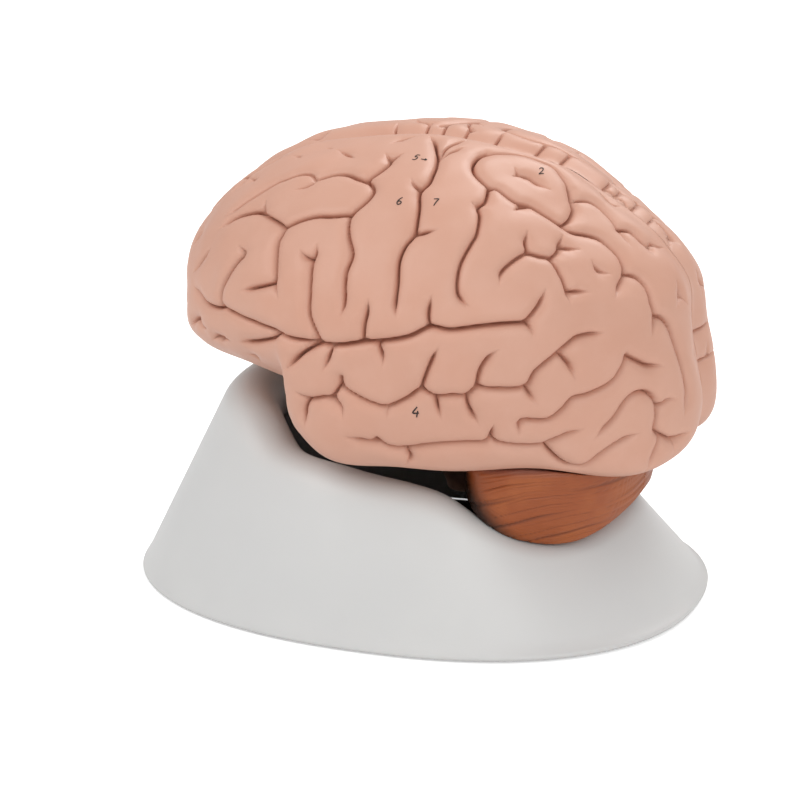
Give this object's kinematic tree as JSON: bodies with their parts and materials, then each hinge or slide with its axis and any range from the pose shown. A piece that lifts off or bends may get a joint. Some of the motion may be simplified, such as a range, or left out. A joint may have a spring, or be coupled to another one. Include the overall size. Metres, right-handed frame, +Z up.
{
  "type": "brain anatomy model on a stand",
  "caption": "Life-size teaching model of a human brain, split on its middle plane and held together by pegs, resting on a hollow moulded stand with a rolled rim.",
  "frame": {"origin": "middle of the stand's foot, on the table", "axes": "+Z up, the front of the brain towards -Y, its left side towards +X"},
  "size_m": [0.1365, 0.1755, 0.1404],
  "materials": {
    "stand": "satin pale grey moulded plastic",
    "cerebrum": "satin painted flesh-coloured cast plastic with darker paint in the furrows",
    "cerebellum": "hand-painted terracotta cast plastic with a slight shine",
    "brain_stem": "satin painted ivory-brown cast plastic",
    "pegs": "plain turned metal pin"
  },
  "bodies": {
    "stand_and_left_half": {"base": "stand", "left_cerebrum": "cerebrum", "left_cerebellum": "cerebellum", "left_brain_stem": "brain_stem", "front_peg": "pegs", "rear_peg": "pegs"},
    "right_half": {"right_cerebrum": "cerebrum", "right_cerebellum": "cerebellum", "right_brain_stem": "brain_stem"}
  },
  "joints": [
    {"name": "right_half_pull_off", "type": "slide", "parent": "stand_and_left_half", "child": "right_half", "axis": [-1, 0, 0], "range_m": [0, 0.022]}
  ]
}
